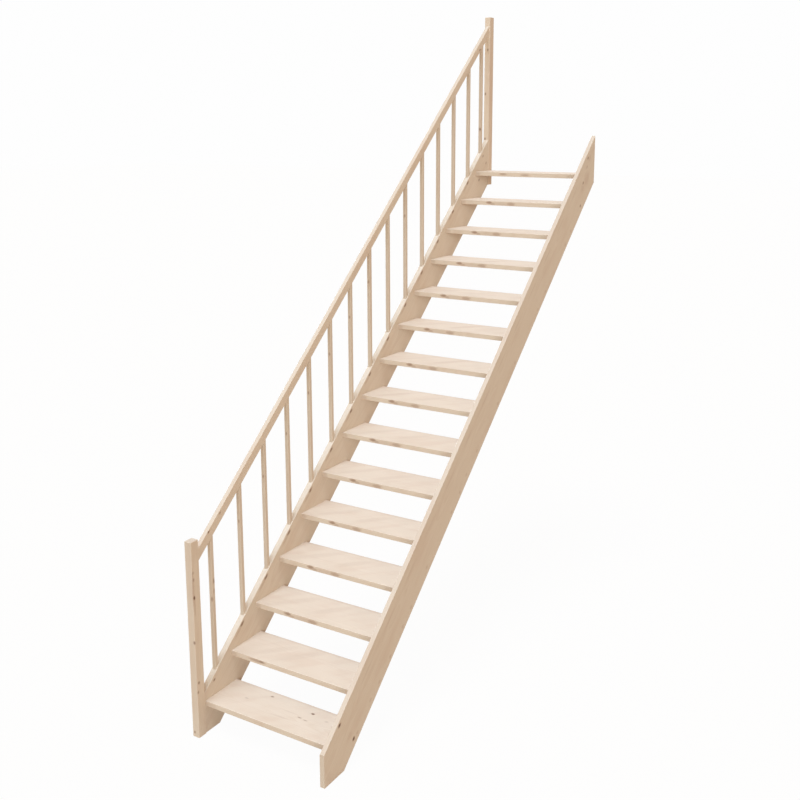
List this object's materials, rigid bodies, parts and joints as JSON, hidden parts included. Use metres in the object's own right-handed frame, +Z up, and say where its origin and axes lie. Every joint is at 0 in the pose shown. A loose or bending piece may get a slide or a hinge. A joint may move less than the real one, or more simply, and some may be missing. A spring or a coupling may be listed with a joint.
{
  "type": "straight open-riser timber stair",
  "caption": "Straight open-riser softwood stair: treads housed in closed stringers, with newel posts, handrail and square balusters along the left side.",
  "frame": {"origin": "on the wall face of the right stringer, at floor level, on the line of the first nosing", "axes": "+X out of the wall face, away from the stair; +Y up the flight, horizontally; +Z up"},
  "size_m": [0.9045, 3.51, 4.1493],
  "materials": {
    "tread_board": "planed, unfinished softwood",
    "stringer_board": "planed, unfinished softwood",
    "post_wood": "planed, unfinished softwood"
  },
  "bodies": {
    "root": {"tread_01": "tread_board", "tread_02": "tread_board", "tread_03": "tread_board", "tread_04": "tread_board", "tread_05": "tread_board", "tread_06": "tread_board", "tread_07": "tread_board", "tread_08": "tread_board", "tread_09": "tread_board", "tread_10": "tread_board", "tread_11": "tread_board", "tread_12": "tread_board", "tread_13": "tread_board", "tread_14": "tread_board", "tread_15": "tread_board", "left_stringer": "stringer_board", "right_stringer": "stringer_board", "lower_newel": "post_wood", "upper_newel": "post_wood", "handrail": "post_wood", "baluster_01": "post_wood", "baluster_02": "post_wood", "baluster_03": "post_wood", "baluster_04": "post_wood", "baluster_05": "post_wood", "baluster_06": "post_wood", "baluster_07": "post_wood", "baluster_08": "post_wood", "baluster_09": "post_wood", "baluster_10": "post_wood", "baluster_11": "post_wood", "baluster_12": "post_wood", "baluster_13": "post_wood", "baluster_14": "post_wood", "baluster_15": "post_wood"}
  },
  "joints": []
}
